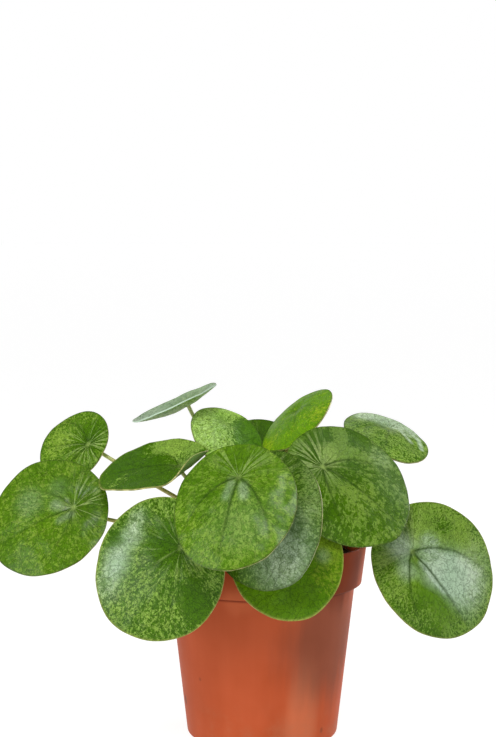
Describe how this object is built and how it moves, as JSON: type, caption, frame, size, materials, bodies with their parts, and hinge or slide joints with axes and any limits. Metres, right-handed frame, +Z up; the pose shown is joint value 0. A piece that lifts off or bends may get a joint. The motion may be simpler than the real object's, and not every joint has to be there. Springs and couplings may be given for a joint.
{
  "type": "potted chinese money plant",
  "caption": "Small money plant with round mottled green leaves on thin stalks, growing from a short stem in a tapered terracotta-coloured plastic pot.",
  "frame": {"origin": "middle of the pot's flat base", "axes": "+Z up, the plant's front faces -Y, +X to the right seen from the front"},
  "size_m": [0.2924, 0.2309, 0.1995],
  "materials": {
    "pot": "semi-gloss moulded terracotta-coloured plastic with faint scuffs and a few dirt specks",
    "soil": "dark, rough potting mix with paler fibres and crumbs",
    "stem": "greyish brown bark with leaf scars",
    "leaf": "glossy green leaf, mottled light and dark, with a silvery sheen and a thin pale rim",
    "stalk": "smooth olive to reddish brown leaf stalk"
  },
  "bodies": {
    "root": {"pot": "pot", "soil": "soil", "stem": "stem", "leaf_blade_01": "leaf", "leaf_stalk_01": "stalk", "leaf_blade_02": "leaf", "leaf_stalk_02": "stalk", "leaf_blade_03": "leaf", "leaf_stalk_03": "stalk", "leaf_blade_04": "leaf", "leaf_stalk_04": "stalk", "leaf_blade_05": "leaf", "leaf_stalk_05": "stalk", "leaf_blade_06": "leaf", "leaf_stalk_06": "stalk", "leaf_blade_07": "leaf", "leaf_stalk_07": "stalk", "leaf_blade_08": "leaf", "leaf_stalk_08": "stalk", "leaf_blade_09": "leaf", "leaf_stalk_09": "stalk", "leaf_blade_10": "leaf", "leaf_stalk_10": "stalk", "leaf_blade_11": "leaf", "leaf_stalk_11": "stalk", "leaf_blade_12": "leaf", "leaf_stalk_12": "stalk", "leaf_blade_13": "leaf", "leaf_stalk_13": "stalk", "leaf_blade_14": "leaf", "leaf_stalk_14": "stalk", "leaf_blade_15": "leaf", "leaf_stalk_15": "stalk", "leaf_blade_16": "leaf", "leaf_stalk_16": "stalk", "leaf_blade_17": "leaf", "leaf_stalk_17": "stalk", "leaf_blade_18": "leaf", "leaf_stalk_18": "stalk", "leaf_blade_19": "leaf", "leaf_stalk_19": "stalk", "leaf_blade_20": "leaf", "leaf_stalk_20": "stalk", "leaf_blade_21": "leaf", "leaf_stalk_21": "stalk", "leaf_blade_22": "leaf", "leaf_stalk_22": "stalk", "leaf_blade_23": "leaf", "leaf_stalk_23": "stalk", "leaf_blade_24": "leaf", "leaf_stalk_24": "stalk"}
  },
  "joints": []
}
